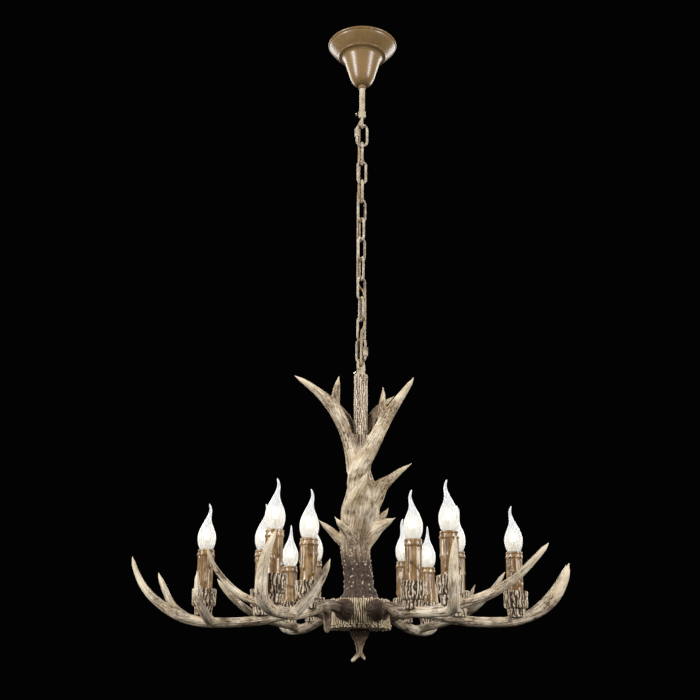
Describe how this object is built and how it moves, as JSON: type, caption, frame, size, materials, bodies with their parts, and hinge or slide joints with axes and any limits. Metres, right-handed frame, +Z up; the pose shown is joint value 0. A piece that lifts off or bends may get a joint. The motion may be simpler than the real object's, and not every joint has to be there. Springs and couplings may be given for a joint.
{
  "type": "antler chandelier",
  "caption": "Chandelier of cast antler arms with candle lights on a burred trunk, hung by quick links and chain from a bell canopy, with stem, hub, finial and flex cable.",
  "frame": {"origin": "middle of the ceiling strap's top face, on the ceiling plane over the chandelier's axis", "axes": "+Z up along the hanging axis, +X to the right and +Y away from the viewer of the picture"},
  "size_m": [0.8552, 0.6075, 1.3522],
  "materials": {
    "steel": "satin",
    "terminal_plastic": "matt",
    "canopy_paint": "semi-gloss, speckled",
    "cream_metal": "whitewash with brown patina",
    "cable_sheath": "translucent gloss",
    "bark_resin": "bark texture",
    "dark_antler": "burred, satin",
    "pale_antler": "grooved, satin",
    "brass": "satin",
    "amber_candle": "gloss, drips",
    "holder_plastic": "matt",
    "bulb_glass": "frosted"
  },
  "bodies": {
    "ceiling_mount": {"ceiling_bracket": "steel", "lock_nut": "steel", "terminal_block": "terminal_plastic", "down_tube": "cream_metal", "top_loop": "cream_metal", "flex_cable": "cable_sheath"},
    "canopy": {"canopy": "canopy_paint", "canopy_collar": "canopy_paint", "collar_screw": "steel"},
    "top_screw": {"top_loop_screw": "steel"},
    "upper_quick_link": {"top_quick_link": "cream_metal"},
    "upper_sleeve": {"top_link_sleeve": "cream_metal"},
    "link_01": {"chain_link_01": "cream_metal"},
    "link_02": {"chain_link_02": "cream_metal"},
    "link_03": {"chain_link_03": "cream_metal"},
    "link_04": {"chain_link_04": "cream_metal"},
    "link_05": {"chain_link_05": "cream_metal"},
    "link_06": {"chain_link_06": "cream_metal"},
    "link_07": {"chain_link_07": "cream_metal"},
    "link_08": {"chain_link_08": "cream_metal"},
    "link_09": {"chain_link_09": "cream_metal"},
    "link_10": {"chain_link_10": "cream_metal"},
    "lower_quick_link": {"bottom_quick_link": "cream_metal"},
    "lower_sleeve": {"bottom_link_sleeve": "cream_metal"},
    "fixture": {"body_loop": "cream_metal", "stem_cover": "bark_resin", "centre_rod": "steel", "rod_nut": "steel", "trunk": "dark_antler", "hub": "bark_resin", "hub_base": "bark_resin", "hub_connector": "terminal_plastic", "finial": "dark_antler", "arm_right": "pale_antler", "arm_right_rear": "pale_antler", "arm_left_rear": "pale_antler", "arm_left": "pale_antler", "arm_left_front": "pale_antler", "arm_right_front": "pale_antler", "arm_bolts": "steel", "candle_cups": "bark_resin", "holder_nipples": "brass", "candle_sleeves": "amber_candle", "lamp_holders": "holder_plastic"},
    "body_screw": {"body_loop_screw": "steel"},
    "lamp_01": {"bulb_01": "bulb_glass"},
    "lamp_02": {"bulb_02": "bulb_glass"},
    "lamp_03": {"bulb_03": "bulb_glass"},
    "lamp_04": {"bulb_04": "bulb_glass"},
    "lamp_05": {"bulb_05": "bulb_glass"},
    "lamp_06": {"bulb_06": "bulb_glass"},
    "lamp_07": {"bulb_07": "bulb_glass"},
    "lamp_08": {"bulb_08": "bulb_glass"},
    "lamp_09": {"bulb_09": "bulb_glass"},
    "lamp_10": {"bulb_10": "bulb_glass"},
    "lamp_11": {"bulb_11": "bulb_glass"},
    "lamp_12": {"bulb_12": "bulb_glass"}
  },
  "joints": [
    {"name": "canopy_drop", "type": "slide", "parent": "ceiling_mount", "child": "canopy", "axis": [0, 0, -1], "range_m": [0, 0.05]},
    {"name": "top_screw_turn", "type": "hinge", "parent": "ceiling_mount", "child": "top_screw", "pos_m": [-0.01, 0, -0.177], "axis": [-1, 0, 0], "continuous": true},
    {"name": "upper_link_swing", "type": "hinge", "parent": "ceiling_mount", "child": "upper_quick_link", "pos_m": [0, 0, -0.2095], "axis": [0, 1, 0], "range_deg": [-20, 20], "deforming": ["flex_cable"]},
    {"name": "upper_sleeve_run", "type": "slide", "parent": "upper_quick_link", "child": "upper_sleeve", "axis": [0, 0, -1], "range_m": [0, 0.008]},
    {"name": "link_01_swing", "type": "hinge", "parent": "upper_quick_link", "child": "link_01", "pos_m": [0, 0, -0.2562], "axis": [0.9903, 0.1392, 0], "range_deg": [-20, 20]},
    {"name": "link_02_swing", "type": "hinge", "parent": "link_01", "child": "link_02", "pos_m": [0, 0, -0.3017], "axis": [0.1045, -0.9945, 0], "range_deg": [-20, 20]},
    {"name": "link_03_swing", "type": "hinge", "parent": "link_02", "child": "link_03", "pos_m": [0, 0, -0.3472], "axis": [-0.9848, -0.1736, 0], "range_deg": [-20, 20]},
    {"name": "link_04_swing", "type": "hinge", "parent": "link_03", "child": "link_04", "pos_m": [0, 0, -0.3927], "axis": [-0.1736, 0.9848, 0], "range_deg": [-20, 20]},
    {"name": "link_05_swing", "type": "hinge", "parent": "link_04", "child": "link_05", "pos_m": [0, 0, -0.4382], "axis": [0.829, 0.5592, 0], "range_deg": [-20, 20]},
    {"name": "link_06_swing", "type": "hinge", "parent": "link_05", "child": "link_06", "pos_m": [0, 0, -0.4837], "axis": [0.5299, -0.848, 0], "range_deg": [-20, 20]},
    {"name": "link_07_swing", "type": "hinge", "parent": "link_06", "child": "link_07", "pos_m": [0, 0, -0.5292], "axis": [-0.7431, -0.6691, 0], "range_deg": [-20, 20]},
    {"name": "link_08_swing", "type": "hinge", "parent": "link_07", "child": "link_08", "pos_m": [0, 0, -0.5747], "axis": [-0.4695, 0.8829, 0], "range_deg": [-20, 20]},
    {"name": "link_09_swing", "type": "hinge", "parent": "link_08", "child": "link_09", "pos_m": [0, 0, -0.6202], "axis": [0.809, 0.5878, 0], "range_deg": [-20, 20]},
    {"name": "link_10_swing", "type": "hinge", "parent": "link_09", "child": "link_10", "pos_m": [0, 0, -0.6657], "axis": [0.4067, -0.9135, 0], "range_deg": [-20, 20]},
    {"name": "lower_link_swing", "type": "hinge", "parent": "link_10", "child": "lower_quick_link", "pos_m": [0, 0, -0.7112], "axis": [-0.809, -0.5878, 0], "range_deg": [-20, 20]},
    {"name": "lower_sleeve_run", "type": "slide", "parent": "lower_quick_link", "child": "lower_sleeve", "axis": [0, 0, 1], "range_m": [0, 0.008]},
    {"name": "fixture_swing", "type": "hinge", "parent": "lower_quick_link", "child": "fixture", "pos_m": [0, 0, -0.7579], "axis": [-0.766, 0.6428, 0], "range_deg": [-15, 15]},
    {"name": "body_screw_turn", "type": "hinge", "parent": "fixture", "child": "body_screw", "pos_m": [-0.0094, 0.00342, -0.78], "axis": [-0.9397, 0.342, 0], "continuous": true},
    {"name": "bulb_01_turn", "type": "hinge", "parent": "fixture", "child": "lamp_01", "pos_m": [0.188, 0, -1.1436], "axis": [0, 0, 1], "continuous": true},
    {"name": "bulb_02_turn", "type": "hinge", "parent": "fixture", "child": "lamp_02", "pos_m": [0.3, 0, -1.1436], "axis": [0, 0, 1], "continuous": true},
    {"name": "bulb_03_turn", "type": "hinge", "parent": "fixture", "child": "lamp_03", "pos_m": [0.094, 0.16281, -1.1436], "axis": [0, 0, 1], "continuous": true},
    {"name": "bulb_04_turn", "type": "hinge", "parent": "fixture", "child": "lamp_04", "pos_m": [0.15, 0.25981, -1.1436], "axis": [0, 0, 1], "continuous": true},
    {"name": "bulb_05_turn", "type": "hinge", "parent": "fixture", "child": "lamp_05", "pos_m": [-0.094, 0.16281, -1.1436], "axis": [0, 0, 1], "continuous": true},
    {"name": "bulb_06_turn", "type": "hinge", "parent": "fixture", "child": "lamp_06", "pos_m": [-0.15, 0.25981, -1.1436], "axis": [0, 0, 1], "continuous": true},
    {"name": "bulb_07_turn", "type": "hinge", "parent": "fixture", "child": "lamp_07", "pos_m": [-0.188, 0, -1.1436], "axis": [0, 0, 1], "continuous": true},
    {"name": "bulb_08_turn", "type": "hinge", "parent": "fixture", "child": "lamp_08", "pos_m": [-0.3, 0, -1.1436], "axis": [0, 0, 1], "continuous": true},
    {"name": "bulb_09_turn", "type": "hinge", "parent": "fixture", "child": "lamp_09", "pos_m": [-0.094, -0.16281, -1.1436], "axis": [0, 0, 1], "continuous": true},
    {"name": "bulb_10_turn", "type": "hinge", "parent": "fixture", "child": "lamp_10", "pos_m": [-0.15, -0.25981, -1.1436], "axis": [0, 0, 1], "continuous": true},
    {"name": "bulb_11_turn", "type": "hinge", "parent": "fixture", "child": "lamp_11", "pos_m": [0.094, -0.16281, -1.1436], "axis": [0, 0, 1], "continuous": true},
    {"name": "bulb_12_turn", "type": "hinge", "parent": "fixture", "child": "lamp_12", "pos_m": [0.15, -0.25981, -1.1436], "axis": [0, 0, 1], "continuous": true}
  ]
}
